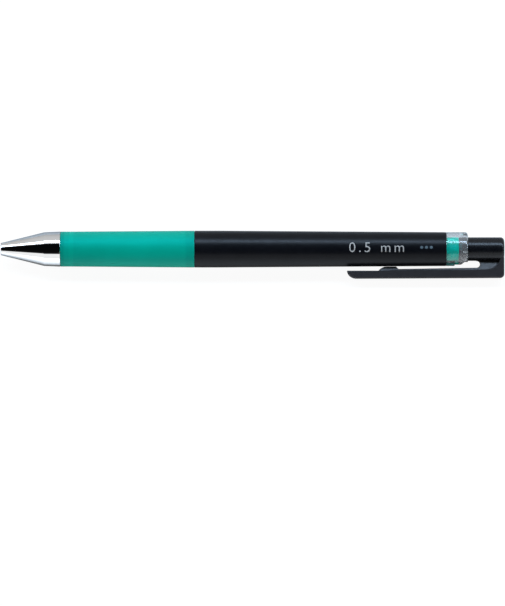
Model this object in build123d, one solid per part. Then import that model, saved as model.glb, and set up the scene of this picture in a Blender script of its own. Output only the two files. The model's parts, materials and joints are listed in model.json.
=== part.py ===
from build123d import *
import math
import os

# Retractable gel pen, retracted, lying on its side on a flat surface.
# Every piece is first made about the pen's own axis: u runs along it from the mouth of the nose cone (0) to the end of
# the push button (LENGTH), and the clip hangs straight down. At the end each piece is rolled and lifted into the row
# frame: +X towards the push button, +Z up, origin under the middle of the bounding box on the surface it lies on.

LENGTH = 142.0  # overall, tip retracted
HALF = LENGTH / 2

# outer shape
CONE_MOUTH_R = 1.717  # virtual sharp edge of the mouth
SHOULDER_U, SHOULDER_R = 12.32, 4.769
GRIP_U0, GRIP_R0 = 16.84, 4.925
BARREL_U0, BARREL_R = 54.67, 5.190
LAND_U1 = 61.0  # the barrel is a true cylinder from BARREL_U0 to here
BARREL_U1, BARREL_R1 = 125.62, 4.775
COLLAR_U1, COLLAR_R = 131.70, 4.775

# internal radii
MOUTH_R = 1.22
SPRING_BORE_R = 2.75
THREAD_R, THREAD_U1 = 3.65, 21.2
CORE_OUT_R, CORE_BORE_R = 4.30, 3.20
BARREL_BORE_R = 3.60
SLEEVE_R = 3.95  # spigot of the cam sleeve in the barrel's rear counterbore
GUIDE_R = 3.40  # bore that guides the button, and the bottom of the cam grooves
RIB_IN_R = 2.78  # inner face of the fixed guide ribs
FIT = 0.02  # radial gap of parts that are pressed or welded together

# click mechanism
TRAVEL = 6.0  # full press; the pen writes at 5.0
RIB_U0, RIB_U1 = 111.9, 118.8  # fixed guide ribs, front and rear ends
N_RIBS = 4
GROOVE_DEG = 45.0
ROTOR_RIB_DEG = 19.0
TOOTH_H = 1.1
ROTOR_TURN_DEG = 22.5  # over the full press
BODY_U0 = 124.95  # plunger's full-diameter body, front end
BUTTON_U0, BUTTON_R, BUTTON_BORE_R = 129.25, 3.33, 2.60
KEY_DEG = 79.0  # the plunger's key in the button's front edge

# refill
REFILL_TIP_U = 1.30
REFILL_R, REFILL_BORE_R = 3.00, 2.35
REFILL_SHOULDER_U = 24.0
REFILL_TAIL_U = 111.2
BALL_R = 0.25

# return spring
SPRING_U0, SPRING_U1 = 7.62, 23.98
SPRING_MEAN_R, WIRE_R, COILS = 2.30, 0.16, 11

# clip
CLIP_HALF_W = 2.0
CLIP_LOW_U, CLIP_LOW_Z = 100.3, -8.38  # lowest point of its outer face
CLIP_LOW_U2, CLIP_LOW_Z2 = LENGTH, -8.17
CLIP_EDGE_R = 0.65
CLIP_PIVOT_U, CLIP_PIVOT_Z = 131.0, -6.765
KNUCKLE_R = 1.40
KNUCKLE_GAP = 0.04

# how it lies: the barrel's land and the clip's outer corner both touch the surface
AXIS_Z = BARREL_R
_cy, _cz = CLIP_HALF_W - CLIP_EDGE_R, -CLIP_LOW_Z - CLIP_EDGE_R  # centre of the rounded corner
LIE_DEG = math.degrees(
    math.asin((AXIS_Z - CLIP_EDGE_R) / math.hypot(_cy, _cz)) - math.atan2(_cy, _cz)
)  # how far the clip points below the horizontal
ROLL_DEG = LIE_DEG - 90.0
_reach = (
    _cy * math.sin(math.radians(LIE_DEG))
    + _cz * math.cos(math.radians(LIE_DEG))
    + CLIP_EDGE_R
)
AXIS_Y = (_reach - BARREL_R) / 2  # the bounding box is centred on the origin


def pt(u, z, y=0.0):
    return (u - HALF, y, z)


def profile(points):
    """Closed face in the u-z plane. A third number on a point is a fillet radius."""
    wire = Polyline([pt(p[0], p[1]) for p in points], close=True)
    face = make_face(wire).face()
    for p in points:
        if len(p) > 2:
            v = min(
                face.vertices(), key=lambda v: (Vector(*pt(p[0], p[1])) - Vector(v)).length
            )
            face = face.fillet_2d(p[2], [v])
    return face


def turned(points):
    return revolve(profile(points), Axis.X, 360).solid()


def slab(points, half_w):
    """Side profile extruded to both sides of the middle plane."""
    return extrude(profile(points), amount=half_w, dir=(0, 1, 0), both=True)


def bar(u0, u1, r):
    return turned([(u0, 0), (u1, 0), (u1, r), (u0, r)])


def pipe(u0, u1, r_in, r_out):
    return turned([(u0, r_in), (u1, r_in), (u1, r_out), (u0, r_out)])


def sector(u0, u1, r_in, r_out, mid_deg, width_deg):
    """Piece of a tube between two angles about the pen axis. 0 is up, positive turns right-handed about +u."""
    face = profile([(u0, r_in), (u1, r_in), (u1, r_out), (u0, r_out)])
    made = revolve(face, Axis.X, width_deg)
    return made.rotate(Axis.X, mid_deg - width_deg / 2)


def ramp_cutter(u_low, height, side, mid_deg, width_deg, reach=8.0):
    """Half space above a plane that climbs by height over the sector's width at side's mean radius."""
    mean_r = 2.9
    span = 2 * mean_r * math.sin(math.radians(width_deg / 2))
    slope = math.degrees(math.atan2(height, span)) * side
    cutter = Box(reach, 20, 20, align=(Align.MIN, Align.CENTER, Align.CENTER))
    cutter = cutter.rotate(Axis.Z, -slope)
    cutter = Pos(u_low + height / 2 - HALF, 0, 0) * cutter
    return cutter.rotate(Axis.X, mid_deg)


def crown(u_root, height, r_in, r_out, n, start_deg, side):
    """Ring of n saw teeth that stand on u_root and point to +u."""
    parts = []
    w = 360.0 / n
    for i in range(n):
        mid = start_deg + i * w
        tooth = sector(u_root - 0.3, u_root + height * 1.3, r_in, r_out, mid, w - 0.02)
        tooth = tooth - ramp_cutter(u_root, height, side, mid, w)
        parts.append(tooth)
    return parts


def fuse(shapes):
    made = shapes[0]
    for s in shapes[1:]:
        made = made + s
    return made


# ---------------------------------------------------------------- nose cone
nose_cone = turned(
    [
        (0, MOUTH_R, 0.10),
        (0, CONE_MOUTH_R, 0.22),
        (SHOULDER_U, SHOULDER_R, 0.5),
        (GRIP_U0 - 0.02, 4.935, 0.06),
        (GRIP_U0 - 0.02, THREAD_R),
        (THREAD_U1, THREAD_R, 0.12),
        (THREAD_U1, 3.15),
        (16.4, 3.15),
        (16.0, SPRING_BORE_R),
        (7.6, SPRING_BORE_R),
        (7.6, 2.05),
        (6.6, 2.05),
        (6.4, 1.75),
        (3.8, 1.75),
        (3.3, MOUTH_R),
    ]
)

# ---------------------------------------------------------------- grip core and grip
grip_core = turned(
    [
        (GRIP_U0, THREAD_R + 0.03),
        (GRIP_U0, CORE_OUT_R),
        (62.4, CORE_OUT_R),
        (62.4, CORE_BORE_R),
        (21.6, CORE_BORE_R),
        (21.6, THREAD_R + 0.03),
    ]
)
grip_sleeve = turned(
    [
        (GRIP_U0 + 0.02, CORE_OUT_R + FIT),
        (GRIP_U0 + 0.02, GRIP_R0, 0.10),
        (20.0, 4.925),
        (30.9, 5.010),
        (42.2, 5.090),
        (BARREL_U0 - 0.03, 5.184, 0.07),
        (BARREL_U0 - 0.03, CORE_OUT_R + FIT),
    ]
)

# ---------------------------------------------------------------- barrel
barrel = turned(
    [
        (BARREL_U0, CORE_OUT_R + FIT),
        (BARREL_U0, BARREL_R, 0.06),
        (LAND_U1, BARREL_R),
        (BARREL_U1, BARREL_R1, 0.07),
        (BARREL_U1, SLEEVE_R + FIT),
        (104.2, SLEEVE_R + FIT),
        (104.2, BARREL_BORE_R),
        (62.5, BARREL_BORE_R),
        (62.5, CORE_OUT_R + FIT),
    ]
)

# ---------------------------------------------------------------- cam sleeve with its clear collar
cam_sleeve = turned(
    [
        (104.3, GUIDE_R),
        (104.3, SLEEVE_R, 0.15),
        (BARREL_U1 + 0.03, SLEEVE_R),
        (BARREL_U1 + 0.03, COLLAR_R, 0.08),
        (COLLAR_U1, COLLAR_R, 0.85),
        (COLLAR_U1, GUIDE_R, 0.12),
    ]
)
# fixed guide ribs, each with two saw teeth on its front end
rib_w = 360.0 / N_RIBS - GROOVE_DEG
for i in range(N_RIBS):
    mid = 45.0 + i * 90.0
    for half in (-1, 1):
        m = mid + half * rib_w / 4
        piece = sector(
            RIB_U0 - 0.4, RIB_U1, RIB_IN_R, GUIDE_R + 0.1, m, rib_w / 2 + 0.01
        )
        front = Box(8, 20, 20, align=(Align.MAX, Align.CENTER, Align.CENTER))
        front = front.rotate(Axis.Z, -28.0)
        front = (Pos(RIB_U0 - 0.05 - HALF, 0, 0) * front).rotate(Axis.X, m)
        cam_sleeve = cam_sleeve + (piece - front)
# notch under the collar for the clip's web, and the sloped relief beside it
notch = Pos(128.0 - HALF, 0, 0) * Box(
    6, 3.5, 3.2, align=(Align.MIN, Align.CENTER, Align.MAX)
).translate((0, 0, -2.6))
relief = slab(
    [(129.15, -4.9), (130.75, -3.66), (133.0, -3.66), (133.0, -6.0), (129.15, -6.0)], 6.0
)
cam_sleeve = (cam_sleeve - notch - relief).solid()
# three short slots in the rear edge of the collar
for a in (11.0, 101.0, 281.0):
    slot = Pos(130.7 - HALF, 0, 0) * Box(
        1.6, 0.35, 0.45, align=(Align.MIN, Align.CENTER, Align.MIN)
    ).translate((0, 0, GUIDE_R - 0.05))
    cam_sleeve = cam_sleeve - slot.rotate(Axis.X, a)
cam_sleeve = cam_sleeve.solid()

# ---------------------------------------------------------------- rotor
rotor = turned(
    [
        (REFILL_TAIL_U + 0.05, 0),
        (REFILL_TAIL_U + 0.05, 1.9, 0.2),
        (113.2, 1.9),
        (113.2, 2.55),
        (116.3, 2.55),
        (116.3, 1.35),
        (122.6, 1.35),
        (123.0, 0.95),
        (123.0, 0),
    ]
)
ROTOR_REST_DEG = -GROOVE_DEG / 2 + ROTOR_RIB_DEG / 2 + 1.0  # rib against one side of its groove
for i in range(N_RIBS):
    mid = ROTOR_REST_DEG + i * 90.0
    rib = sector(113.4, 116.9, 2.3, 3.28, mid, ROTOR_RIB_DEG)
    rib = rib - ramp_cutter(116.15, 0.7, 1, mid, 22.5)
    rotor = rotor + rib
for tooth in crown(116.3, TOOTH_H, 1.75, 2.5, 8, 22.5, 1):
    rotor = rotor + tooth
rotor = rotor.solid()

# ---------------------------------------------------------------- plunger, which also shows the ink colour
CROWN_GAP = 0.12  # crest to crest
PLUNGER_U0 = 116.3 + 2 * TOOTH_H + CROWN_GAP  # root of the plunger's crown
plunger = turned(
    [
        (PLUNGER_U0, 1.50),
        (PLUNGER_U0, 2.62),
        (BODY_U0, 2.62),
        (BODY_U0, 3.30, 0.1),
        (BUTTON_U0 - 0.03, 3.30, 0.06),
        (BUTTON_U0 - 0.03, BUTTON_BORE_R - 0.03),
        (136.4, BUTTON_BORE_R - 0.03, 0.3),
        (136.4, 1.60),
        (126.2, 1.60),
        (126.2, 1.50),
    ]
)
for i in range(N_RIBS):
    plunger = plunger + sector(117.8, BODY_U0 + 0.2, 2.4, 3.28, i * 90.0, 38.0)
# crown of eight pointed teeth that face the rotor's
for i in range(8):
    mid = i * 45.0
    tooth = sector(PLUNGER_U0 - TOOTH_H, PLUNGER_U0 + 0.2, 1.7, 2.55, mid, 44.9)
    for side in (-1, 1):
        cut = Box(6, 20, 20, align=(Align.MAX, Align.CENTER, Align.CENTER))
        cut = cut.rotate(Axis.Z, side * 52.0)
        cut = (Pos(PLUNGER_U0 - TOOTH_H - HALF, 0, 0) * cut).rotate(Axis.X, mid)
        tooth = tooth - cut
    plunger = plunger + tooth
# key that sits in the notch of the button's front edge
key = sector(BUTTON_U0 - 0.2, BUTTON_U0 + 0.80, 2.4, 3.12, KEY_DEG, 30.0)
plunger = (plunger + key).solid()

# ---------------------------------------------------------------- push button with the clip's root
button = turned(
    [
        (BUTTON_U0, BUTTON_BORE_R),
        (BUTTON_U0, BUTTON_R, 0.12),
        (LENGTH, BUTTON_R, 0.95),
        (LENGTH, 0),
        (140.7, 0),
        (140.7, BUTTON_BORE_R),
    ]
)
key_notch = sector(BUTTON_U0 - 0.5, BUTTON_U0 + 0.90, 2.0, 4.0, KEY_DEG, 33.0)
button = button - key_notch
# web: narrow under the button, as wide as the clip at its foot
web_section = Polyline(
    [
        (0, -0.86, -3.0),
        (0, 0.86, -3.0),
        (0, 2.0, -5.56),
        (0, 2.0, -5.9),
        (0, -2.0, -5.9),
        (0, -2.0, -5.56),
    ],
    close=True,
)
web = extrude(make_face(web_section), amount=8.5, dir=(1, 0, 0)).translate(
    (133.0 - HALF, 0, 0)
)
window = slab(
    [(120, -3.40), (135.37, -3.40, 0.90), (135.37, -5.28, 0.90), (120, -5.28)], 4.0
)
web = web - window
web = web - slab([(130, -2.0), (134.35, -2.0), (134.35, -5.28), (130, -5.28)], 4.0)
# end block and the clip's rigid root
block = slab(
    [
        (LENGTH, -1.0),
        (LENGTH, -8.17, 1.0),
        (130.0, -8.225),
        (130.0, -5.325),
        (134.4, -5.27),
        (138.2, -5.62),
        (139.35, -5.25),
        (140.2, -4.3),
        (140.75, -2.6),
        (140.9, -1.0),
    ],
    CLIP_HALF_W,
)


def clip_section(u0, u1):
    """Solid of the clip's cross-section along its slightly sloping outer face: rounded outside, bevelled inside."""
    slope = (CLIP_LOW_Z2 - CLIP_LOW_Z) / (CLIP_LOW_U2 - CLIP_LOW_U)
    w, low, top = CLIP_HALF_W, CLIP_LOW_Z + slope * (u0 - CLIP_LOW_U), 2.0
    outline = make_face(
        Polyline(
            [(u0 - HALF, -w, low), (u0 - HALF, w, low), (u0 - HALF, w, top), (u0 - HALF, -w, top)],
            close=True,
        )
    ).face()
    corners = [v for v in outline.vertices() if v.Z < low + 0.1]
    outline = outline.fillet_2d(CLIP_EDGE_R, corners)
    return extrude(outline, amount=(u1 - u0) * math.hypot(1, slope), dir=Vector(1, 0, slope))


block = block & clip_section(128.0, 144.0)
seat = Pos(CLIP_PIVOT_U - HALF, 0, CLIP_PIVOT_Z) * Cylinder(
    KNUCKLE_R + KNUCKLE_GAP, 6, rotation=(90, 0, 0)
)
front_cut = slab(
    [
        (128.0, -3.0),
        (CLIP_PIVOT_U + 0.16, -3.0),
        (CLIP_PIVOT_U + 0.16, -9.0),
        (128.0, -9.0),
    ],
    4.0,
)
block = block - seat - front_cut
button = (button + web + block).solid()

# ---------------------------------------------------------------- clip arm
arm = slab(
    [
        (97.73, -6.07, 0.25),
        (98.0, -7.05, 0.9),
        (98.75, -7.95, 0.9),
        (100.3, -8.38, 1.6),
        (CLIP_PIVOT_U, -8.215),
        (CLIP_PIVOT_U, -5.315),
        (112.35, -5.585, 0.3),
        (111.55, -4.96, 0.25),
        (108.75, -4.96, 0.9),
        (106.6, -6.07, 0.8),
    ],
    CLIP_HALF_W,
)
arm = arm & clip_section(95.0, 133.0)
# the bead is narrower than the arm, with sloped flanks
for side in (-1, 1):
    flank = Polyline(
        [
            (0, side * 1.25, -4.0),
            (0, side * 3.0, -4.0),
            (0, side * 3.0, -5.98),
            (0, side * 2.02, -5.98),
        ],
        close=True,
    )
    cut = extrude(make_face(flank), amount=8.0, dir=(1, 0, 0)).translate(
        (105.3 - HALF, 0, 0)
    )
    arm = arm - cut
arm = arm - slab(
    [(CLIP_PIVOT_U, -2), (CLIP_PIVOT_U + 5, -2), (CLIP_PIVOT_U + 5, -12), (CLIP_PIVOT_U, -12)],
    5.0,
)
knuckle = Pos(CLIP_PIVOT_U - HALF, 0, CLIP_PIVOT_Z) * Cylinder(
    KNUCKLE_R, 2 * CLIP_HALF_W, rotation=(90, 0, 0)
)
clip_arm = (arm + (knuckle & clip_section(128.0, 134.0))).solid()

# ---------------------------------------------------------------- refill
T = REFILL_TIP_U
tip_ball = Pos(T + BALL_R - HALF, 0, 0) * Sphere(BALL_R)
refill_tip = turned(
    [
        (T + 0.13, 0.245),
        (T + 0.13, 0.31, 0.02),
        (T + 0.45, 0.45),
        (T + 2.4, 0.45),
        (T + 5.0, 1.15, 0.3),
        (T + 8.7, 1.15),
        (T + 8.7, 1.0),
        (T + 12.2, 1.0),
        (T + 12.2, 0.6),
        (T + 2.6, 0.35),
        (T + 0.62, 0.30),
        (T + 0.50, 0.262),
    ]
)
tip_spring_path = Helix(pitch=0.42, height=5.0, radius=0.22, center=(0, 0, 0))
tip_spring = None
coil_profile = Circle(0.045)
wire_plane = Plane(origin=tip_spring_path @ 0, z_dir=tip_spring_path % 0)
tip_spring = sweep(wire_plane * coil_profile, path=tip_spring_path)
tip_spring = tip_spring.rotate(Axis.Y, 90).translate((T + 0.70 - HALF, 0, 0))
holder = turned(
    [
        (T + 8.72, 1.02),
        (T + 8.72, 1.50, 0.1),
        (T + 9.2, 1.55),
        (T + 11.5, 1.55),
        (T + 11.7, 1.90, 0.1),
        (REFILL_SHOULDER_U - 1.0, 1.90),
        (REFILL_SHOULDER_U, 2.05),
        (REFILL_SHOULDER_U, REFILL_R, 0.15),
        (REFILL_SHOULDER_U + 1.2, REFILL_R),
        (REFILL_SHOULDER_U + 1.2, REFILL_BORE_R - FIT),
        (30.6, REFILL_BORE_R - FIT, 0.2),
        (30.6, 1.3),
        (T + 12.25, 1.02),
    ]
)
tube = pipe(REFILL_SHOULDER_U + 1.22, 109.6, REFILL_BORE_R, REFILL_R)
ink = bar(30.65, 92.0, REFILL_BORE_R - FIT)
follower = bar(92.02, 99.0, REFILL_BORE_R - FIT)
tail_plug = turned(
    [
        (105.8, 0.45),
        (105.8, REFILL_BORE_R - FIT, 0.3),
        (109.62, REFILL_BORE_R - FIT),
        (109.62, REFILL_R),
        (REFILL_TAIL_U, REFILL_R, 0.25),
        (REFILL_TAIL_U, 0.45),
    ]
)

# ---------------------------------------------------------------- return spring
spring_len = SPRING_U1 - SPRING_U0 - 2 * WIRE_R
helix = Helix(
    pitch=spring_len / COILS, height=spring_len, radius=SPRING_MEAN_R, center=(0, 0, 0)
)
spring = sweep(
    Plane(origin=helix @ 0, z_dir=helix % 0) * Circle(WIRE_R), path=helix
)
spring = spring.rotate(Axis.Y, 90).translate((SPRING_U0 + WIRE_R - HALF, 0, 0))

NODES = {
    "nose_cone": nose_cone,
    "grip_core": grip_core,
    "grip_sleeve": grip_sleeve,
    "barrel": barrel,
    "cam_sleeve": cam_sleeve,
    "push_button": button,
    "clip_arm": clip_arm,
    "plunger": plunger,
    "cam_rotor": rotor,
    "return_spring": spring,
    "refill_tip": refill_tip,
    "tip_ball": tip_ball,
    "tip_spring": tip_spring,
    "refill_tip_holder": holder,
    "refill_tube": tube,
    "gel_ink": ink,
    "ink_follower": follower,
    "refill_tail_plug": tail_plug,
}


def placed(shape):
    return shape.rotate(Axis.X, ROLL_DEG).translate((0, AXIS_Y, AXIS_Z))


def main():
    os.makedirs("parts", exist_ok=True)
    low, high = [1e9] * 3, [-1e9] * 3
    for name, shape in NODES.items():
        shape = placed(shape)
        export_step(shape, f"parts/{name}.step")
        b = shape.bounding_box()
        low = [min(a, c) for a, c in zip(low, tuple(b.min))]
        high = [max(a, c) for a, c in zip(high, tuple(b.max))]
    print("box", [round(v, 3) for v in low], [round(v, 3) for v in high])


main()
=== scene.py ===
import json
import math

import bmesh
import bpy
import numpy as np
from mathutils import Matrix, Vector


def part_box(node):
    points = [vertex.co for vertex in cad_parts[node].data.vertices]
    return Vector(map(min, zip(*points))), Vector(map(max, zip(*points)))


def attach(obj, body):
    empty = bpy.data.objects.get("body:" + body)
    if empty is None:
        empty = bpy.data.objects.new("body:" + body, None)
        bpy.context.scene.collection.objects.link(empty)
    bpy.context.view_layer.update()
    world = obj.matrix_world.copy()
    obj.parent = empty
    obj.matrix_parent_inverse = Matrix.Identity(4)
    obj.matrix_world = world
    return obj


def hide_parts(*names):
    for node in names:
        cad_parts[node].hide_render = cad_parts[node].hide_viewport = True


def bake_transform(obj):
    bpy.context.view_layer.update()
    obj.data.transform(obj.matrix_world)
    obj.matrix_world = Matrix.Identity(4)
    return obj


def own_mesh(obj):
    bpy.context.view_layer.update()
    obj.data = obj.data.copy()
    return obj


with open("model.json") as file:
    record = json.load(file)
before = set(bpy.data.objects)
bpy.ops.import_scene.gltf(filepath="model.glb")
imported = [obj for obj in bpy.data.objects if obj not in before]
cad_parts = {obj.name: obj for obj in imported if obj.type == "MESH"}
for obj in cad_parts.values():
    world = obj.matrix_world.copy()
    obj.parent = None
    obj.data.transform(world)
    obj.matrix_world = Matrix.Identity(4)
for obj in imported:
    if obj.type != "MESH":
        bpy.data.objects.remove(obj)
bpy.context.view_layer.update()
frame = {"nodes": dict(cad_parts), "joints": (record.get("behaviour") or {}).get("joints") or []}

NODES = frame["nodes"]

# ------------------------------------------------------------------ the pen's own coordinates
# u: millimetres along the pen from the mouth of the nose cone; z: minus towards the clip; y: minus towards the camera
_lo, _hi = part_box("refill_tube")
AY, AZ = (_lo.y + _hi.y) / 2, (_lo.z + _hi.z) / 2
X0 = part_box("nose_cone")[0].x
_axis = next(j for j in frame["joints"] if j["name"] == "clip_flex")["axis"]
LIE = math.atan2(-_axis[1], _axis[2])
SL, CL = math.sin(LIE), math.cos(LIE)


def row(p):
    p = np.asarray(p, float).reshape(-1, 3)
    out = np.empty_like(p)
    out[:, 0] = X0 + p[:, 0] / 1000
    out[:, 1] = AY + (p[:, 1] * SL + p[:, 2] * CL) / 1000
    out[:, 2] = AZ + (-p[:, 1] * CL + p[:, 2] * SL) / 1000
    return out


def row_dir(n):
    n = np.asarray(n, float).reshape(-1, 3)
    return np.stack(
        [n[:, 0], n[:, 1] * SL + n[:, 2] * CL, -n[:, 1] * CL + n[:, 2] * SL], 1
    )


# ------------------------------------------------------------------ profiles
def rounded(points, step=9.0, closed=True):
    """Polyline with the third number of a point as its corner radius, as a dense list of (a, b)."""
    out = []
    n = len(points)
    for i, p in enumerate(points):
        if len(p) < 3 or not p[2] or (not closed and i in (0, n - 1)):
            out.append((p[0], p[1]))
            continue
        a, b, c = (np.array(points[k % n][:2], float) for k in (i - 1, i, i + 1))
        d0, d1 = a - b, c - b
        l0, l1 = np.linalg.norm(d0), np.linalg.norm(d1)
        d0, d1 = d0 / l0, d1 / l1
        cosang = np.clip(d0 @ d1, -1, 1)
        ang = math.acos(cosang)
        t = min(p[2] / math.tan(ang / 2), 0.499 * l0, 0.499 * l1)
        r = t * math.tan(ang / 2)
        centre = b + (d0 + d1) / np.linalg.norm(d0 + d1) * (r / math.sin(ang / 2))
        s, e = b + d0 * t - centre, b + d1 * t - centre
        a0, a1 = math.atan2(s[1], s[0]), math.atan2(e[1], e[0])
        da = (a1 - a0 + math.pi) % (2 * math.pi) - math.pi
        m = max(2, int(abs(math.degrees(da)) / step) + 1)
        for k in range(m + 1):
            q = a0 + da * k / m
            out.append((centre[0] + r * math.cos(q), centre[1] + r * math.sin(q)))
    return out


def supported(pts, closed=True, gap=0.05):
    """Adds a point close to each end of every long straight run, so that smooth shading stays flat there."""
    out = []
    n = len(pts)
    for i in range(n if closed else n - 1):
        a, b = np.array(pts[i]), np.array(pts[(i + 1) % n])
        out.append(tuple(a))
        length = np.linalg.norm(b - a)
        if length > 5 * gap:
            d = (b - a) / length
            out.append(tuple(a + d * gap))
            k = int(length // 6)
            for j in range(1, k + 1):
                out.append(tuple(a + (b - a) * j / (k + 1)))
            out.append(tuple(b - d * gap))
    if not closed:
        out.append(tuple(pts[-1]))
    return out


def build(name, verts, faces, smooth_angle=32.0, normals=None):
    me = bpy.data.meshes.new(name)
    me.from_pydata([tuple(v) for v in verts], [], [tuple(f) for f in faces])
    me.validate(clean_customdata=False)
    me.update()
    me.polygons.foreach_set("use_smooth", np.ones(len(me.polygons), bool))
    if normals is None:
        me.set_sharp_from_angle(angle=math.radians(smooth_angle))
    else:
        me.normals_split_custom_set_from_vertices([tuple(n) for n in normals])
    ob = bpy.data.objects.new(name, me)
    bpy.context.scene.collection.objects.link(ob)
    return ob


def lathe(name, points, seg=192, closed=True):
    """Turns a profile of (u, r[, corner radius]) about the pen's axis. An open profile starts and ends on the axis."""
    prof = supported(rounded(points, closed=closed), closed=closed)
    area = sum(
        prof[i][0] * prof[(i + 1) % len(prof)][1]
        - prof[(i + 1) % len(prof)][0] * prof[i][1]
        for i in range(len(prof))
    )
    if area < 0:
        prof = prof[::-1]
    ang = np.arange(seg) * 2 * math.pi / seg
    verts, rings = [], []
    for u, r in prof:
        if r < 1e-7:
            rings.append([len(verts)] * seg)
            verts.append((u, 0, 0))
        else:
            base = len(verts)
            rings.append([base + k for k in range(seg)])
            verts.extend(zip([u] * seg, -r * np.sin(ang), r * np.cos(ang)))
    faces = []
    n = len(rings)
    for i in range(n if closed else n - 1):
        a, b = rings[i], rings[(i + 1) % n]
        if a[0] == a[1] and b[0] == b[1]:
            continue
        for k in range(seg):
            k2 = (k + 1) % seg
            quad = [a[k], b[k], b[k2], a[k2]]
            face = []
            for q in quad:
                if q not in face:
                    face.append(q)
            faces.append(face)
    return build(name, row(verts), faces)


# ------------------------------------------------------------------ solids from distance functions
def vmin(a, b, k=0.0):
    """Union; k rounds the inside corner."""
    if k <= 0:
        return np.minimum(a, b)
    h = np.maximum(k - np.abs(a - b), 0) / k
    return np.minimum(a, b) - h * h * k / 4


def vmax(a, b, r=0.0):
    """Intersection with an edge radius r."""
    if np.isscalar(r) and r <= 0:
        return np.maximum(a, b)
    return np.minimum(-r, np.maximum(a, b)) + np.sqrt(
        np.maximum(a + r, 0) ** 2 + np.maximum(b + r, 0) ** 2
    )


def poly_sdf(u, z, pts):
    """Signed distance to a closed polygon, negative inside."""
    shape = np.broadcast(u, z).shape
    u, z = np.broadcast_to(u, shape).ravel(), np.broadcast_to(z, shape).ravel()
    d = np.full(u.shape, 1e9)
    inside = np.zeros(u.shape, bool)
    n = len(pts)
    for i in range(n):
        (x0, y0), (x1, y1) = pts[i], pts[(i + 1) % n]
        ex, ey = x1 - x0, y1 - y0
        l2 = ex * ex + ey * ey
        if l2 < 1e-14:
            continue
        wx, wy = u - x0, z - y0
        t = np.clip((wx * ex + wy * ey) / l2, 0, 1)
        d = np.minimum(d, (wx - ex * t) ** 2 + (wy - ey * t) ** 2)
        crosses = (y0 > z) != (y1 > z)
        if ey != 0:
            inside ^= crosses & (u < ex * wy / ey + x0)
    d = np.sqrt(d)
    return np.where(inside, -d, d).reshape(shape)


def net(name, f, lo, hi, h):
    """Mesh of f = 0 by surface nets, each vertex then moved onto the surface, with the surface's own normals."""
    ax = [np.arange(a, b + h, h) for a, b in zip(lo, hi)]
    nx, ny, nz = map(len, ax)
    V = np.empty((nx, ny, nz))
    Y, Z = np.meshgrid(ax[1], ax[2], indexing="ij")
    for i in range(0, nx, 24):
        xs = ax[0][i : i + 24]
        V[i : i + 24] = f(
            np.broadcast_to(xs[:, None, None], (len(xs), ny, nz)),
            np.broadcast_to(Y, (len(xs), ny, nz)),
            np.broadcast_to(Z, (len(xs), ny, nz)),
        )
    V[V == 0] = 1e-12
    S = V < 0
    c = S[:-1, :-1, :-1].astype(np.int8)
    for dx, dy, dz in [(a, b, c2) for a in (0, 1) for b in (0, 1) for c2 in (0, 1)][1:]:
        c = c + S[dx : nx - 1 + dx, dy : ny - 1 + dy, dz : nz - 1 + dz]
    active = (c > 0) & (c < 8)
    I, J, K = np.nonzero(active)
    index = np.full(active.shape, -1, np.int64)
    index[I, J, K] = np.arange(len(I))
    pos = np.zeros((len(I), 3))
    cnt = np.zeros(len(I))
    corners = [(a, b, c2) for a in (0, 1) for b in (0, 1) for c2 in (0, 1)]
    for p in corners:
        for axis in range(3):
            if p[axis]:
                continue
            q = list(p)
            q[axis] = 1
            v0 = V[I + p[0], J + p[1], K + p[2]]
            v1 = V[I + q[0], J + q[1], K + q[2]]
            m = (v0 < 0) != (v1 < 0)
            t = np.where(m, v0 / np.where(m, v0 - v1, 1), 0)
            for k in range(3):
                pos[:, k] += np.where(m, p[k] + (t if k == axis else 0), 0)
            cnt += m
    pos /= cnt[:, None]
    pos = np.stack(
        [ax[0][I] + pos[:, 0] * h, ax[1][J] + pos[:, 1] * h, ax[2][K] + pos[:, 2] * h], 1
    )
    faces = []
    for axis in range(3):
        a, b = [(1, 2), (2, 0), (0, 1)][axis]
        sl0, sl1 = [slice(None)] * 3, [slice(None)] * 3
        sl0[axis], sl1[axis] = slice(0, -1), slice(1, None)
        s0, s1 = S[tuple(sl0)], S[tuple(sl1)]
        E = np.argwhere(s0 != s1)
        E = E[(E[:, a] > 0) & (E[:, b] > 0)]
        E = E[(E[:, a] < V.shape[a] - 1) & (E[:, b] < V.shape[b] - 1)]
        da, db = np.eye(3, dtype=int)[a], np.eye(3, dtype=int)[b]
        quad = [E - da - db, E - db, E, E - da]
        q = np.stack([index[x[:, 0], x[:, 1], x[:, 2]] for x in quad], 1)
        flip = ~s0[E[:, 0], E[:, 1], E[:, 2]]
        q[flip] = q[flip][:, ::-1]
        faces.append(q)
    faces = np.concatenate(faces)
    e = h * 0.02

    def grad(p):
        g = np.stack(
            [
                f(*(p + d).T) - f(*(p - d).T)
                for d in (np.array([e, 0, 0]), np.array([0, e, 0]), np.array([0, 0, e]))
            ],
            1,
        ) / (2 * e)
        return g

    for _ in range(4):
        v = f(*pos.T)
        g = grad(pos)
        step = v[:, None] * g / np.maximum((g * g).sum(1), 1e-3)[:, None]
        length = np.linalg.norm(step, axis=1)
        step *= np.minimum(1, 0.35 * h / np.maximum(length, 1e-12))[:, None]
        pos -= step
    g = grad(pos)
    n = g / np.maximum(np.linalg.norm(g, axis=1), 1e-9)[:, None]
    return build(name, row(pos), faces, normals=row_dir(n))


# ------------------------------------------------------------------ materials
def new_material(name):
    m = bpy.data.materials.new(name)
    m.use_nodes = True
    nt = m.node_tree
    bsdf = nt.nodes["Principled BSDF"]
    return m, nt, bsdf


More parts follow.
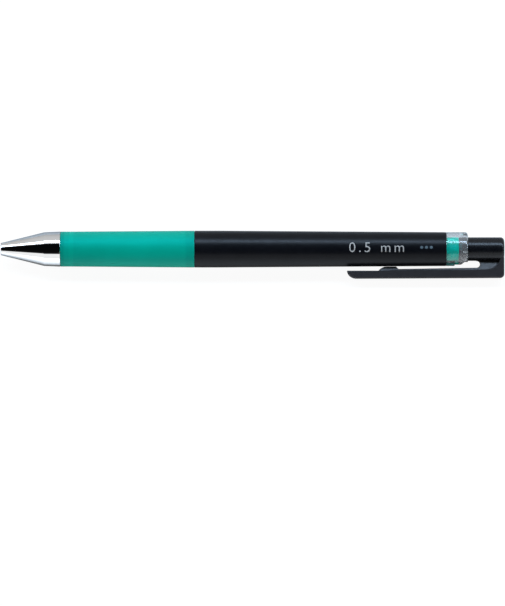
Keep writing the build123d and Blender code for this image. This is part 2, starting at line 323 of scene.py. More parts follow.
def noise(nt, scale, detail=2.0, rough=0.5, stretch=None, dist=0.0):
    tc = nt.nodes.new("ShaderNodeTexCoord")
    mp = nt.nodes.new("ShaderNodeMapping")
    nt.links.new(tc.outputs["Object"], mp.inputs["Vector"])
    if stretch:
        mp.inputs["Scale"].default_value = stretch
    tx = nt.nodes.new("ShaderNodeTexNoise")
    tx.inputs["Scale"].default_value = scale
    tx.inputs["Detail"].default_value = detail
    tx.inputs["Roughness"].default_value = rough
    tx.inputs["Distortion"].default_value = dist
    nt.links.new(mp.outputs["Vector"], tx.inputs["Vector"])
    return tx.outputs["Fac"]


def remap(nt, value, a, b, c=0.0, d=1.0):
    mr = nt.nodes.new("ShaderNodeMapRange")
    mr.inputs["From Min"].default_value = a
    mr.inputs["From Max"].default_value = b
    mr.inputs["To Min"].default_value = c
    mr.inputs["To Max"].default_value = d
    nt.links.new(value, mr.inputs["Value"])
    return mr.outputs["Result"]


def mix(nt, fac, a, b):
    mx = nt.nodes.new("ShaderNodeMix")
    mx.data_type = "RGBA"
    nt.links.new(fac, mx.inputs["Factor"])
    for sock, v in ((mx.inputs[6], a), (mx.inputs[7], b)):
        if isinstance(v, tuple):
            sock.default_value = (*v, 1.0)
        else:
            nt.links.new(v, sock)
    return mx.outputs[2]


def bump(nt, bsdf, height, strength, distance):
    bp = nt.nodes.new("ShaderNodeBump")
    bp.inputs["Strength"].default_value = strength
    bp.inputs["Distance"].default_value = distance
    nt.links.new(height, bp.inputs["Height"])
    nt.links.new(bp.outputs["Normal"], bsdf.inputs["Normal"])
    return bp


def edge_wear(nt, lo=0.515, hi=0.60):
    geo = nt.nodes.new("ShaderNodeNewGeometry")
    return remap(nt, geo.outputs["Pointiness"], lo, hi)


def plastic(name, base, var, rough=0.35, spec=0.4, grain=9000.0, grain_strength=0.06, tint=None, rough_var=0.05, wear=None):
    m, nt, b = new_material(name)
    n = noise(nt, 260.0, 3.0)
    col = mix(nt, remap(nt, n, 0.35, 0.65), base, var)
    if wear is not None:
        col = mix(nt, edge_wear(nt), col, wear)
    nt.links.new(col, b.inputs["Base Color"])
    n2 = noise(nt, 1400.0, 4.0)
    nt.links.new(
        remap(nt, n2, 0.3, 0.7, rough - rough_var, rough + rough_var), b.inputs["Roughness"]
    )
    b.inputs["Specular IOR Level"].default_value = spec
    if tint:
        b.inputs["Specular Tint"].default_value = (*tint, 1.0)
    bump(nt, b, noise(nt, grain, 2.0), grain_strength, 0.00002)
    return m


M = {}
M["black"] = plastic(
    "black_plastic", (0.0024, 0.0026, 0.0038), (0.0036, 0.0038, 0.0052),
    rough=0.33, spec=0.17, tint=(0.90, 0.94, 1.0), wear=(0.010, 0.011, 0.013),
)
M["black_knock"] = plastic(
    "black_knock_plastic", (0.0024, 0.0026, 0.0038), (0.0036, 0.0038, 0.0052),
    rough=0.28, spec=0.30, tint=(0.90, 0.94, 1.0), wear=(0.010, 0.011, 0.013), grain_strength=0.015,
)
# a copy of the knock's black plastic with a far lighter base colour: painted light on the clip's sides
M["black_clip"] = plastic(
    "black_clip_plastic", (0.0225, 0.0205, 0.0222), (0.0255, 0.0232, 0.0250),
    rough=0.38, spec=0.30, tint=(0.94, 0.96, 1.0), wear=(0.026, 0.026, 0.029),
)
M["green"] = plastic(
    "green_plastic", (0.0, 0.63, 0.485), (0.002, 0.69, 0.53), rough=0.40, spec=0.10,
    grain=5000, grain_strength=0.03,
)
# a darker copy of the green plastic: painted shade on the plunger's key, which sits in the knock's notch
M["green_key"] = plastic(
    "green_plastic_painted_shade", (0.0, 0.085, 0.075), (0.002, 0.10, 0.09), rough=0.45, spec=0.10,
    grain=5000, grain_strength=0.03,
)
M["white"] = plastic(
    "white_plastic", (0.74, 0.74, 0.71), (0.80, 0.80, 0.78), rough=0.42, spec=0.5, grain=6000,
)


def make_chrome():
    m, nt, b = new_material("chrome")
    b.inputs["Metallic"].default_value = 1.0
    lines = noise(nt, 900.0, 4.0, stretch=(14.0, 0.25, 0.25))
    cloud = noise(nt, 350.0, 3.0)
    nt.links.new(
        mix(nt, remap(nt, cloud, 0.35, 0.65), (0.84, 0.85, 0.86), (0.88, 0.885, 0.89)),
        b.inputs["Base Color"],
    )
    nt.links.new(remap(nt, lines, 0.3, 0.75, 0.02, 0.06), b.inputs["Roughness"])
    b.inputs["Specular Tint"].default_value = (0.50, 0.52, 0.53, 1.0)
    bump(nt, b, lines, 0.02, 0.00001)
    return m


def make_rubber():
    m, nt, b = new_material("green_rubber")
    cloud = noise(nt, 180.0, 3.0)
    col = mix(nt, remap(nt, cloud, 0.3, 0.7), (0.0, 0.378, 0.252), (0.0, 0.408, 0.274))
    # painted shade: the sleeve's colour is darkened in bands over the nose cone's thread and the mouth of the barrel,
    # which lie under its two ends
    tc = nt.nodes.new("ShaderNodeTexCoord")
    sep = nt.nodes.new("ShaderNodeSeparateXYZ")
    nt.links.new(tc.outputs["Object"], sep.inputs[0])
    painted_shade_bands = nt.nodes.new("ShaderNodeValToRGB")
    nt.links.new(
        remap(nt, sep.outputs["X"], X0 + 0.0160, X0 + 0.0560), painted_shade_bands.inputs["Fac"]
    )
    els = painted_shade_bands.color_ramp.elements
    while len(els) > 1:
        els.remove(els[-1])
    for i, (u, v) in enumerate(
        [(16.8, 0.74), (17.7, 0.76), (18.1, 0.90), (19.2, 0.92), (19.5, 1.0), (20.4, 1.0), (20.8, 0.90),
         (24.0, 0.92), (31.0, 0.98), (51.8, 0.98), (52.6, 0.85), (54.2, 0.84), (54.5, 0.97)]
    ):
        e = els[0] if i == 0 else els.new((u - 16.0) / 40.0)
        e.position = (u - 16.0) / 40.0
        e.color = (v, v, v, 1)
    mul = nt.nodes.new("ShaderNodeMix")
    mul.data_type = "RGBA"
    mul.blend_type = "MULTIPLY"
    mul.inputs["Factor"].default_value = 1.0
    nt.links.new(col, mul.inputs[6])
    nt.links.new(painted_shade_bands.outputs["Color"], mul.inputs[7])
    nt.links.new(mul.outputs[2], b.inputs["Base Color"])
    fine = noise(nt, 5200.0, 3.0)
    nt.links.new(remap(nt, fine, 0.3, 0.7, 0.50, 0.58), b.inputs["Roughness"])
    b.inputs["IOR"].default_value = 1.6
    b.inputs["Transmission Weight"].default_value = 0.25
    b.inputs["Specular IOR Level"].default_value = 0.5
    b.inputs["Specular Tint"].default_value = (0.0, 0.90, 1.0, 1.0)
    bump(nt, b, fine, 0.10, 0.00002)
    return m


def make_core():
    m, nt, b = new_material("natural_plastic")
    cloud = noise(nt, 300.0, 3.0)
    nt.links.new(
        mix(nt, remap(nt, cloud, 0.3, 0.7), (0.62, 0.70, 0.68), (0.70, 0.77, 0.75)),
        b.inputs["Base Color"],
    )
    nt.links.new(remap(nt, noise(nt, 2500.0), 0.3, 0.7, 0.18, 0.26), b.inputs["Roughness"])
    b.inputs["Subsurface Weight"].default_value = 0.2
    b.inputs["Subsurface Radius"].default_value = (0.001, 0.001, 0.001)
    b.inputs["Subsurface Scale"].default_value = 1.0
    bump(nt, b, noise(nt, 2500.0), 0.03, 0.00002)
    return m


def make_clear(name, tint, rough, spread=0.02, painted_plunger_reflection=None, rim=None, skin=False):
    m, nt, b = new_material(name)
    cloud = noise(nt, 700.0, 3.0)
    col = mix(nt, remap(nt, cloud, 0.3, 0.7), tint, tuple(min(1.0, c * 1.02) for c in tint))
    if painted_plunger_reflection:
        # painted reflection: the plunger's green is painted into the colour of the collar's lower wall, in front of
        # the knock
        tc = nt.nodes.new("ShaderNodeTexCoord")
        sep = nt.nodes.new("ShaderNodeSeparateXYZ")
        nt.links.new(tc.outputs["Object"], sep.inputs[0])
        dots = nt.nodes.new("ShaderNodeVectorMath")
        dots.operation = "DOT_PRODUCT"
        nt.links.new(tc.outputs["Object"], dots.inputs[0])
        dots.inputs[1].default_value = (0.0, CL, SL)
        low = remap(nt, dots.outputs["Value"], AY * CL + AZ * SL - 0.00345, AY * CL + AZ * SL - 0.0036)
        front = remap(nt, sep.outputs["X"], X0 + 0.1293, X0 + 0.1291)
        reflection_mask = nt.nodes.new("ShaderNodeMath")
        reflection_mask.operation = "MULTIPLY"
        nt.links.new(low, reflection_mask.inputs[0])
        nt.links.new(front, reflection_mask.inputs[1])
        col = mix(nt, reflection_mask.outputs[0], col, painted_plunger_reflection)
    if rim:
        # light that grazes the wall travels further inside it and comes out weaker
        lw = nt.nodes.new("ShaderNodeLayerWeight")
        lw.inputs["Blend"].default_value = 0.5
        col = mix(nt, remap(nt, lw.outputs["Facing"], 0.46, 0.80), col, rim)
    nt.links.new(col, b.inputs["Base Color"])
    b.inputs["Transmission Weight"].default_value = 1.0
    b.inputs["IOR"].default_value = 1.49
    nt.links.new(remap(nt, noise(nt, 1800.0, 4.0), 0.35, 0.7, rough, rough + spread), b.inputs["Roughness"])
    if skin:
        # the handled outer skin is softer in gloss than the plastic is inside
        b.inputs["Specular Tint"].default_value = (0.0, 0.0, 0.0, 1.0)
        b.inputs["Coat Weight"].default_value = 1.0
        b.inputs["Coat Roughness"].default_value = 0.2
        b.inputs["Coat IOR"].default_value = 1.6
    return m


def make_metal(name, a, c, r0, r1, stretch=(10.0, 0.3, 0.3), scale=1500.0):
    m, nt, b = new_material(name)
    b.inputs["Metallic"].default_value = 1.0
    lines = noise(nt, scale, 4.0, stretch=stretch)
    nt.links.new(mix(nt, remap(nt, lines, 0.3, 0.7), a, c), b.inputs["Base Color"])
    nt.links.new(remap(nt, lines, 0.3, 0.7, r0, r1), b.inputs["Roughness"])
    bump(nt, b, lines, 0.05, 0.00001)
    return m


def make_ink(name, a, c, rough, trans=0.0):
    m, nt, b = new_material(name)
    nt.links.new(
        mix(nt, remap(nt, noise(nt, 500.0, 4.0), 0.3, 0.7), a, c), b.inputs["Base Color"]
    )
    nt.links.new(remap(nt, noise(nt, 900.0), 0.3, 0.7, rough, rough + 0.06), b.inputs["Roughness"])
    b.inputs["Transmission Weight"].default_value = trans
    return m


M["chrome"] = make_chrome()
M["rubber"] = make_rubber()
M["core"] = make_core()
# the green given below for the lower wall is the plunger's reflection, painted into the clear plastic's colour
M["clear"] = make_clear(
    "clear_plastic", (0.94, 0.965, 0.97), 0.03, 0.02, painted_plunger_reflection=(0.16, 0.74, 0.70), rim=(0.12, 0.24, 0.23), skin=True
)
M["clear_bore"] = make_clear("clear_plastic_bore", (0.95, 0.97, 0.975), 0.02, 0.01)
M["clear_bore"].node_tree.nodes["Principled BSDF"].inputs["Specular Tint"].default_value = (0, 0, 0, 1)
M["clear_rear"] = make_clear(
    "clear_plastic_rear", (0.94, 0.965, 0.97), 0.05, 0.02, rim=(0.12, 0.24, 0.23), skin=True
)
M["clear_rear"].node_tree.nodes["Principled BSDF"].inputs["Transmission Weight"].default_value = 0.91
M["tube"] = make_clear("refill_plastic", (0.92, 0.94, 0.94), 0.16, 0.06)
M["spring"] = make_metal("spring_steel", (0.55, 0.55, 0.56), (0.66, 0.66, 0.67), 0.16, 0.28)
M["tip"] = make_metal("tip_metal", (0.60, 0.585, 0.55), (0.70, 0.685, 0.65), 0.14, 0.24)
M["ball"] = make_metal("carbide", (0.34, 0.34, 0.35), (0.42, 0.42, 0.43), 0.10, 0.18)
M["ink"] = make_ink("gel_ink", (0.0, 0.18, 0.13), (0.0, 0.26, 0.19), 0.12)
M["grease"] = make_ink("grease", (0.72, 0.70, 0.58), (0.80, 0.78, 0.68), 0.10, 0.3)
M["print"] = plastic(
    "print_grey", (0.34, 0.325, 0.31), (0.40, 0.385, 0.37), rough=0.5, spec=0.3, grain=7000,
)
M["print_dim"] = plastic(
    "print_dim", (0.070, 0.100, 0.120), (0.082, 0.115, 0.138), rough=0.5, spec=0.3, grain=7000,
)


def finish_piece(ob, material, body, slot, *replaced):
    ob.data.materials.clear()
    ob.data.materials.append(material)
    if body:
        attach(ob, body)
    if replaced:
        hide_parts(*replaced)
    return ob


# ------------------------------------------------------------------ camera, floor, light
UP = Vector((0, CL, SL))  # image up
BACK = Vector((0, -SL, CL))  # from the pen to the camera
MID = Vector(row([(71.0, 0, 0)])[0])
DISTANCE = 1.35
MM_PER_PX = 142.0 / 503.15
cam_data = bpy.data.cameras.new("camera")
cam_data.sensor_width = 36.0
cam_data.lens = 18.0 / (303.0 * MM_PER_PX / 1000 / DISTANCE)
cam_data.clip_start, cam_data.clip_end = 0.01, 50.0
cam = bpy.data.objects.new("camera", cam_data)
bpy.context.scene.collection.objects.link(cam)
cam.location = MID + BACK * DISTANCE
aim = MID - UP * (53.9 * MM_PER_PX / 1000) + Vector((0.00002, 0, 0))
cam.rotation_mode = "QUATERNION"
cam.rotation_quaternion = (aim - cam.location).to_track_quat("-Z", "Y")
bpy.context.scene.camera = cam

scene = bpy.context.scene
scene.view_settings.view_transform = "Standard"
scene.view_settings.look = "None"

floor_me = bpy.data.meshes.new("floor")
s = 6.0
n_f = 24
fv = [
    (-s + 2 * s * i / n_f, -s + 2 * s * j / n_f, -0.00003)
    for j in range(n_f + 1)
    for i in range(n_f + 1)
]
ff = [
    (j * (n_f + 1) + i, j * (n_f + 1) + i + 1, (j + 1) * (n_f + 1) + i + 1, (j + 1) * (n_f + 1) + i)
    for j in range(n_f)
    for i in range(n_f)
]
floor_me.from_pydata(fv, [], ff)
floor = bpy.data.objects.new("floor", floor_me)
scene.collection.objects.link(floor)
fm, fnt, fb = new_material("floor")
fb.inputs["Base Color"].default_value = (0.08, 0.08, 0.08, 1)
fb.inputs["Roughness"].default_value = 0.9
fb.inputs["Specular IOR Level"].default_value = 0.0
fb.inputs["Emission Color"].default_value = (1, 1, 1, 1)
fb.inputs["Emission Strength"].default_value = 0.945
# what the pen's surfaces get back from the floor: a pale card in front of the pen and a greyer one behind it
fr = fnt.nodes.new("ShaderNodeBsdfPrincipled")
fr.inputs["Base Color"].default_value = (0.34, 0.34, 0.34, 1)
fr.inputs["Roughness"].default_value = 0.9
fr.inputs["Specular IOR Level"].default_value = 0.0
fr.inputs["Emission Strength"].default_value = 1.0
ftc = fnt.nodes.new("ShaderNodeTexCoord")
fse = fnt.nodes.new("ShaderNodeSeparateXYZ")
fnt.links.new(ftc.outputs["Object"], fse.inputs[0])
fnt.links.new(remap(fnt, fse.outputs["Y"], -0.015, -0.004, 1.02, 0.14), fr.inputs["Emission Color"])
flp = fnt.nodes.new("ShaderNodeLightPath")
fmx = fnt.nodes.new("ShaderNodeMixShader")
fnt.links.new(flp.outputs["Is Camera Ray"], fmx.inputs[0])
fnt.links.new(fr.outputs[0], fmx.inputs[1])
fnt.links.new(fb.outputs[0], fmx.inputs[2])
fnt.links.new(fmx.outputs[0], fnt.nodes["Material Output"].inputs["Surface"])
floor_me.materials.append(fm)

world = bpy.data.worlds.new("studio")
scene.world = world
world.use_nodes = True
wt = world.node_tree
wt.nodes.clear()
out = wt.nodes.new("ShaderNodeOutputWorld")
bg = wt.nodes.new("ShaderNodeBackground")
tc = wt.nodes.new("ShaderNodeTexCoord")


def dot(vec, v):
    d = wt.nodes.new("ShaderNodeVectorMath")
    d.operation = "DOT_PRODUCT"
    wt.links.new(vec, d.inputs[0])
    d.inputs[1].default_value = v
    return d.outputs["Value"]


at = wt.nodes.new("ShaderNodeMath")
at.operation = "ARCTAN2"
wt.links.new(dot(tc.outputs["Generated"], tuple(UP)), at.inputs[0])
wt.links.new(dot(tc.outputs["Generated"], tuple(BACK)), at.inputs[1])
mr = wt.nodes.new("ShaderNodeMapRange")
mr.inputs["From Min"].default_value = -math.pi
mr.inputs["From Max"].default_value = math.pi
wt.links.new(at.outputs[0], mr.inputs["Value"])
ramp = wt.nodes.new("ShaderNodeValToRGB")
wt.links.new(mr.outputs["Result"], ramp.inputs["Fac"])
STRIP = 14.5
# (degrees above the camera's axis, light, tint)
WHITE, COOL = (1.0, 1.0, 1.0), (0.62, 0.80, 1.0)
STOPS = [
    (-180, 0.9, WHITE), (-70, 0.95, WHITE), (-37, 1.0, WHITE), (-34.5, 1.0, WHITE), (-31.5, 0.02, WHITE),
    (-22, 0.003, WHITE), (36.5, 0.003, COOL), (41.5, 1.0, WHITE), (45, 1.2, WHITE), (45.5, STRIP, COOL),
    (55.5, STRIP, COOL), (57.5, 1.02, WHITE), (60, 1.0, WHITE), (63, 0.66, WHITE), (90, 0.60, WHITE),
    (115, 0.50, WHITE), (150, 0.29, WHITE), (180, 0.21, WHITE),
]
els = ramp.color_ramp.elements
while len(els) > 1:
    els.remove(els[-1])
for i, (deg, v, tint) in enumerate(STOPS):
    p = (deg + 180) / 360
    e = els[0] if i == 0 else els.new(p)
    e.position = p
    e.color = (*(v / STRIP * t for t in tint), 1)
bg.inputs["Strength"].default_value = STRIP
wt.links.new(ramp.outputs["Color"], bg.inputs["Color"])
wt.links.new(bg.outputs["Background"], out.inputs["Surface"])

# ------------------------------------------------------------------ nose cone
BARREL_R, BARREL_R1 = 5.19, 4.775
cone = lathe(
    "nose_cone_shell",
    [
        (0.0, 1.22, 0.12), (0.0, 1.717, 0.22), (12.32, 4.769, 0.55), (16.82, 4.942, 0.07),
        (16.82, 3.65), (16.95, 3.65, 0.03), (17.12, 3.45), (17.75, 3.45), (17.95, 3.65, 0.05),
        (21.2, 3.65, 0.15), (21.2, 3.15), (16.4, 3.15), (16.0, 2.75), (7.6, 2.75), (7.6, 2.05),
        (6.6, 2.05), (6.4, 1.75), (3.8, 1.75), (3.3, 1.22),
    ],
    seg=256,
)
finish_piece(cone, M["chrome"], "nose", "chromed_metal", "nose_cone")

# ------------------------------------------------------------------ grip and its core
core = lathe(
    "front_barrel",
    [
        (18.4, 3.69), (18.4, 4.28, 0.1), (20.25, 4.28, 0.1), (20.35, 4.05, 0.05), (51.9, 4.10, 0.05),
        (52.1, 4.28, 0.1), (62.4, 4.28), (62.4, 3.2), (21.6, 3.2), (21.6, 3.69),
    ],
)
finish_piece(core, M["core"], "barrel", "natural_plastic", "grip_core")
grip = lathe(
    "rubber_grip",
    [
        (16.87, 4.32), (16.87, 4.927, 0.14), (20.0, 4.927), (30.9, 5.01), (42.2, 5.09),
        (54.64, 5.184, 0.12), (54.64, 4.32), (53.9, 4.32), (40.0, 4.31), (20.0, 4.31),
    ],
    seg=256,
)
finish_piece(grip, M["rubber"], "barrel", "green_rubber", "grip_sleeve")

# ------------------------------------------------------------------ barrel
barrel = lathe(
    "barrel_shell",
    [
        (54.68, 4.32), (54.68, 5.188, 0.10), (61.0, 5.188), (125.6, 4.776, 0.10), (125.6, 3.97),
        (104.2, 3.97), (104.2, 3.6), (62.5, 3.6), (62.5, 4.32),
    ],
    seg=256,
)
finish_piece(barrel, M["black"], "barrel", "black_plastic", "barrel")


def polar(y, z):
    return np.hypot(y, z), np.degrees(np.arctan2(-y, z))


def sector(r, a, mid, width):
    """Signed distance to the two side planes of a sector (negative inside)."""
    d = (a - mid + 180) % 360 - 180
    return r * np.sin(np.radians(np.clip(np.abs(d) - width / 2, -90, 90)))


# ------------------------------------------------------------------ clear collar with its sleeve
COLLAR_PROFILE = rounded(
    [
        (104.3, 3.40), (104.3, 3.95, 0.1), (125.65, 3.95), (125.65, 4.765, 0.06),
        (131.7, 4.765, 0.85), (131.7, 3.40, 0.15),
    ]
)


def collar_f(u, y, z):
    r, a = polar(y, z)
    d = poly_sdf(u, r, COLLAR_PROFILE)
    for i in range(4):
        rib = vmax(vmax(111.9 - u, u - 118.8), vmax(2.78 - r, r - 3.5), 0.05)
        d = vmin(d, vmax(rib, sector(r, a, 45 + 90 * i, 45), 0.05), 0.08)
    notch = np.maximum(np.maximum(np.abs(y) - 1.75, 128.0 - u), np.maximum(-5.8 - z, z + 2.6))
    d = vmax(d, -notch, 0.06)
    # sloped relief beside the notch
    relief = np.maximum((129.95 - u) * 0.61 + (z + 4.28) * 0.79, z + 3.66)
    d = vmax(d, -relief, 0.08)
    for ang in (11.0, 101.0, 281.0):
        slot = np.maximum(np.maximum(130.3 - u, 3.3 - r), r - 3.95)
        slot = np.maximum(slot, sector(r, a, ang, 4.6))
        d = vmax(d, -slot, 0.04)
    return d


collar = net("clear_collar", collar_f, (104.0, -5.0, -5.0), (132.4, 5.0, 5.0), 0.115)
finish_piece(collar, M["clear"], "barrel", "clear_plastic", "cam_sleeve")
collar.data.materials.append(M["clear_bore"])
collar.data.materials.append(M["clear_rear"])
centres = np.empty(len(collar.data.polygons) * 3)
collar.data.polygons.foreach_get("center", centres)
centres = centres.reshape(-1, 3) * 1000 - np.array([X0 * 1000, AY * 1000, AZ * 1000])
bore = np.hypot(centres[:, 1], centres[:, 2]) < 3.5
rear = ~bore & (centres[:, 0] > 129.15)
collar.data.polygons.foreach_set("material_index", (bore + 2 * rear).astype(np.int32))

# ------------------------------------------------------------------ plunger, knock and clip
PLUNGER_PROFILE = rounded(
    [
        (118.62, 1.5), (118.62, 2.62, 0.1), (124.95, 2.62), (124.95, 3.30, 0.1), (129.1, 3.30, 0.1),
        (129.1, 2.57), (136.4, 2.57, 0.3), (136.4, 1.5),
    ]
)
KEY = 79.0


def plunger_f(u, y, z):
    r, a = polar(y, z)
    d = poly_sdf(u, r, PLUNGER_PROFILE)
    for i in range(4):
        rib = vmax(vmax(117.8 - u, u - 125.2), vmax(2.4 - r, r - 3.28), 0.06)
        d = vmin(d, vmax(rib, sector(r, a, 90.0 * i, 38), 0.06))
    for i in range(8):
        w = sector(r, a, 45.0 * i, 0.0)
        tooth = np.maximum(117.52 - u + np.abs(w) * 1.28, u - 118.8)
        tooth = np.maximum(tooth * 0.62, vmax(1.7 - r, r - 2.55, 0.05))
        d = vmin(d, tooth)
    key = vmax(vmax(128.9 - u, u - 130.03), vmax(2.4 - r, r - 3.14), 0.05)
    return vmin(d, vmax(key, sector(r, a, KEY, 30), 0.05))


plunger = net("plunger_body", plunger_f, (117.2, -3.6, -3.6), (136.8, 3.6, 3.6), 0.115)
finish_piece(plunger, M["green"], "button", "green_plastic", "plunger")
plunger.data.materials.append(M["green_key"])
centres = np.empty(len(plunger.data.polygons) * 3)
plunger.data.polygons.foreach_get("center", centres)
# faces behind u = 129.15 mm, most of the key among them, take the darker green: painted shade
plunger.data.polygons.foreach_set("material_index", (centres[::3] > X0 + 0.12915).astype(np.int32))

KNOCK_PROFILE = rounded(
    [(129.25, 2.6), (129.25, 3.33, 0.12), (142.0, 3.33, 1.0), (142.0, -1.0), (140.7, -1.0), (140.7, 2.6)]
)


def knock_f(u, y, z):
    r, a = polar(y, z)
    d = poly_sdf(u, r, KNOCK_PROFILE)
    notch = np.maximum(u - 130.15, 2.0 - r)
    notch = np.maximum(notch, sector(r, a, KEY, 33))
    return vmax(d, -notch, 0.05)


knock = net("knock_tube", knock_f, (128.9, -3.7, -3.7), (142.4, 3.7, 3.7), 0.1)
finish_piece(knock, M["black_knock"], "button", "black_plastic")

# side outline of the clip, its web and end block
tip_arc = [
    (100.35 - 2.62 * math.cos(t), -6.15 - 2.225 * math.sin(t))
    for t in np.linspace(math.radians(4), math.radians(90), 16)
]
CLIP_OUTLINE = rounded(
    [
        (97.72, -6.09, 0.18), *[(a, b) for a, b in tip_arc],
        (142.0, -8.165, 1.15), (142.0, -2.45), (138.6, -2.45), (138.0, -2.75), (134.1, -2.75), (134.1, -3.40),
        *[
            (134.32 + 0.93 * math.cos(t), -4.33 + 0.93 * math.sin(t))
            for t in np.linspace(math.radians(90), math.radians(-90), 18)
        ],
        (123.9, -5.42), (112.2, -5.62, 0.15), (111.5, -4.93, 0.15), (108.9, -4.93, 0.3), (108.35, -4.98),
        (107.85, -5.14), (107.35, -5.40), (106.95, -5.74), (106.65, -6.09, 0.2),
    ],
    step=12.0,
)
# part of that outline that has the clip's full width
FULL_OUTLINE = rounded(
    [
        (96.0, -6.5), (96.0, -9.5), (143.0, -9.5), (143.0, -1.5), (141.0, -1.5), (140.9, -2.5), (140.65, -3.5),
        (140.1, -4.5), (139.3, -5.25), (138.2, -5.72), (136.4, -5.95), (134.0, -5.98), (112.6, -6.02), (106.0, -6.35),
    ]
)
SLOPE = math.tan(math.radians(24.5))


def clip_f(u, y, z):
    a = poly_sdf(u, z, CLIP_OUTLINE)
    outer = np.clip((-6.7 - z) / 0.7, 0, 1)
    r = 0.10 + 0.55 * outer * outer * (3 - 2 * outer)
    end = np.clip((u - 140.9) / 0.7, 0, 1)
    r = np.maximum(r, 0.10 + 0.40 * end)
    full = poly_sdf(u, z, FULL_OUTLINE)
    crest = np.interp(u, [97.0, 105.9, 106.6, 112.0, 112.7, 134.0, 142.0], [-6.45, -6.45, -6.05, -6.05, -6.02, -5.98, -5.98])
    taper = (np.abs(y) - 2.0 + SLOPE * (z - crest)) * math.cos(math.atan(SLOPE))
    side = np.maximum(np.abs(y) - 2.0, vmin(full, taper, 0.35))
    return vmax(a, side, r)


clip = net("clip_and_block", clip_f, (97.3, -2.4, -8.75), (142.4, 2.4, -2.1), 0.1)
finish_piece(clip, M["black_clip"], None, "black_plastic", "clip_arm", "push_button")
tuple(row([(134.6, 0, -6.765)])[0])
tuple(row([(127.4, 0, -6.765)])[0])
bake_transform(clip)

# ------------------------------------------------------------------ print on the barrel: ball size and three dots
def barrel_r(u):
    return np.where(u < 61.0, BARREL_R, BARREL_R + (BARREL_R1 - BARREL_R) * (u - 61.0) / (125.72 - 61.0))


def wrapped(name, flat_mesh, u0, z0, lift=0.008, thick=0.006):
    """Lays a flat mesh (x along the pen, y up the image, in mm) on the barrel's camera side."""
    bm = bmesh.new()
    bm.from_mesh(flat_mesh)
    bmesh.ops.triangulate(bm, faces=bm.faces[:])
    for _ in range(3):
        long = [e for e in bm.edges if e.calc_length() > 0.22]
        if not long:
            break
        bmesh.ops.subdivide_edges(bm, edges=long, cuts=1)
        bmesh.ops.triangulate(bm, faces=bm.faces[:])
    base = bm.faces[:]
    got = bmesh.ops.extrude_face_region(bm, geom=base)
    top = {v for v in got["geom"] if isinstance(v, bmesh.types.BMVert)}
    bm.verts.ensure_lookup_table()
    pts, lifts = [], []
    for v in bm.verts:
        pts.append((v.co.x, v.co.y))
        lifts.append(lift if v in top else lift - thick)
    pts = np.array(pts)
    u = u0 + pts[:, 0]
    r = barrel_r(u)
    ang = math.pi / 2 - math.asin(z0 / float(barrel_r(np.array(u0)))) - pts[:, 1] / r
    rr = r + np.array(lifts)
    co = row(np.stack([u, -rr * np.sin(ang), rr * np.cos(ang)], 1))
    for v, c in zip(bm.verts, co):
        v.co = c
    bmesh.ops.recalc_face_normals(bm, faces=bm.faces[:])
    me = bpy.data.meshes.new(name)
    bm.to_mesh(me)
    bm.free()
    ob = bpy.data.objects.new(name, me)
    scene.collection.objects.link(ob)
    return ob


def text_mesh(body, height):
    cu = bpy.data.curves.new("print_text", "FONT")
    cu.body = body
    cu.size = 1.0
    cu.resolution_u = 6
    cu.space_character = 1.34
    cu.offset = -0.006
    ob = bpy.data.objects.new("print_text", cu)
    scene.collection.objects.link(ob)
    bpy.context.view_layer.update()
    me = bpy.data.meshes.new_from_object(ob.evaluated_get(bpy.context.evaluated_depsgraph_get()))
    bpy.data.objects.remove(ob)
    co = np.array([v.co[:2] for v in me.vertices])
    k = height / (co[:, 1].max() - co[:, 1].min())
    for v in me.vertices:
        v.co = ((v.co.x - co[:, 0].min()) * k, (v.co.y - co[:, 1].min()) * k, 0)
    return me, (co[:, 0].max() - co[:, 0].min()) * k


tm, tw = text_mesh("0.5 mm", 2.8)
label = wrapped("size_print", tm, 98.2, -0.86)
finish_piece(label, M["print"], "barrel", "black_plastic")
bm = bmesh.new()
for k in range(3):
    bmesh.ops.create_circle(bm, cap_ends=True, segments=28, radius=0.42, matrix=Matrix.Translation((1.35 * k, 0, 0)))
dots_flat = bpy.data.meshes.new("dots_flat")
bm.to_mesh(dots_flat)
bm.free()
dots = wrapped("print_dots", dots_flat, 118.6, 0.5)
finish_piece(dots, M["print_dim"], "barrel", "black_plastic")

# ------------------------------------------------------------------ click mechanism and refill
NODES["cam_rotor"].data.materials.clear()
NODES["cam_rotor"].data.materials.append(M["white"])

T = 1.30
tip = lathe(
    "writing_tip",
    [
        (T + 0.13, 0.252), (T + 0.13, 0.31, 0.02), (T + 0.45, 0.45, 0.05), (T + 2.4, 0.45, 0.2), (T + 5.0, 1.15, 0.3),
        (T + 8.7, 1.15, 0.04), (T + 8.7, 1.0), (T + 12.2, 1.0), (T + 12.2, 0.6), (T + 2.6, 0.35), (T + 0.62, 0.30),
        (T + 0.50, 0.262),
    ],
    seg=96,
)
finish_piece(tip, M["tip"], "refill", "tip_metal", "refill_tip")
ball = lathe(
    "writing_ball",
    [(T + 0.25 - 0.25 * math.cos(t), 0.25 * math.sin(t)) for t in np.linspace(0, math.pi, 25)],
    seg=48, closed=False,
)
finish_piece(ball, M["ball"], "refill", "carbide", "tip_ball")
holder = lathe(
    "tip_holder",
    [
        (T + 8.72, 1.02), (T + 8.72, 1.5, 0.12), (T + 9.2, 1.55), (T + 11.5, 1.55, 0.05), (T + 11.7, 1.9, 0.1),
        (23.0, 1.9), (24.0, 2.05), (24.0, 3.0, 0.15), (25.2, 3.0, 0.08), (25.2, 2.33), (30.6, 2.33, 0.2), (30.6, 1.3),
        (T + 12.25, 1.02),
    ],
    seg=128,
)
finish_piece(holder, M["white"], "refill", "white_plastic", "refill_tip_holder")
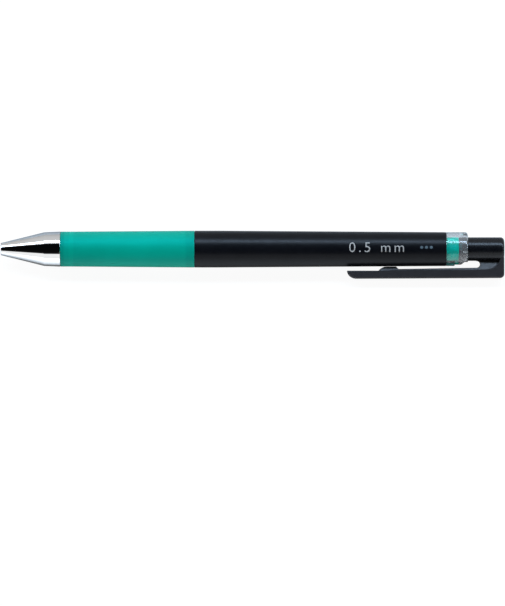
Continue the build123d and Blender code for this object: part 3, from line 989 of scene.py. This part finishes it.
tube = lathe("refill_shell", [(25.22, 2.35), (25.22, 3.0, 0.05), (109.6, 3.0, 0.05), (109.6, 2.35)], seg=128)
finish_piece(tube, M["tube"], "refill", "refill_plastic", "refill_tube")
for node, key in (
    ("tip_spring", "spring"), ("gel_ink", "ink"), ("ink_follower", "grease"), ("refill_tail_plug", "white"),
):
    NODES[node].data.materials.clear()
    NODES[node].data.materials.append(M[key])


def coil(name, u0, u1, mean_r, wire_r, turns, dead=1.0, seg=44, sides=14):
    """Compression spring with a closed coil at each end."""
    total = turns
    n = int(total * seg)
    t = np.linspace(0, total, n + 1)
    rise = np.interp(t, [0, dead, total - dead, total], [0, dead * 2.1 * wire_r, 1, 1])
    span = u1 - u0 - 2 * wire_r
    lift = dead * 2.06 * wire_r
    u = np.interp(t, [0, dead, total - dead, total], [0, lift, span - lift, span]) + u0 + wire_r
    ang = 2 * math.pi * t
    c = np.stack([u, mean_r * np.cos(ang), mean_r * np.sin(ang)], 1)
    tan = np.gradient(c, axis=0)
    tan /= np.linalg.norm(tan, axis=1)[:, None]
    rad = np.stack([np.zeros_like(u), np.cos(ang), np.sin(ang)], 1)
    bi = np.cross(tan, rad)
    bi /= np.linalg.norm(bi, axis=1)[:, None]
    rad = np.cross(bi, tan)
    verts, faces = [], []
    for i in range(n + 1):
        k = wire_r if 0 < i < n else wire_r * 0.86
        for j in range(sides):
            q = 2 * math.pi * j / sides
            verts.append(c[i] + k * (rad[i] * math.cos(q) + bi[i] * math.sin(q)))
    for i in range(n):
        for j in range(sides):
            a, b = i * sides + j, i * sides + (j + 1) % sides
            faces.append((a, b, b + sides, a + sides))
    faces.append(tuple(range(sides))[::-1])
    faces.append(tuple(n * sides + j for j in range(sides)))
    return build(name, row(verts), faces, smooth_angle=50)


spring = coil("tip_return_spring", 7.64, 23.96, 2.28, 0.175, 11.5)
finish_piece(spring, M["spring"], "barrel", "spring_steel", "return_spring")
tuple(row([(7.62, 0, 0)])[0])
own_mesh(spring)
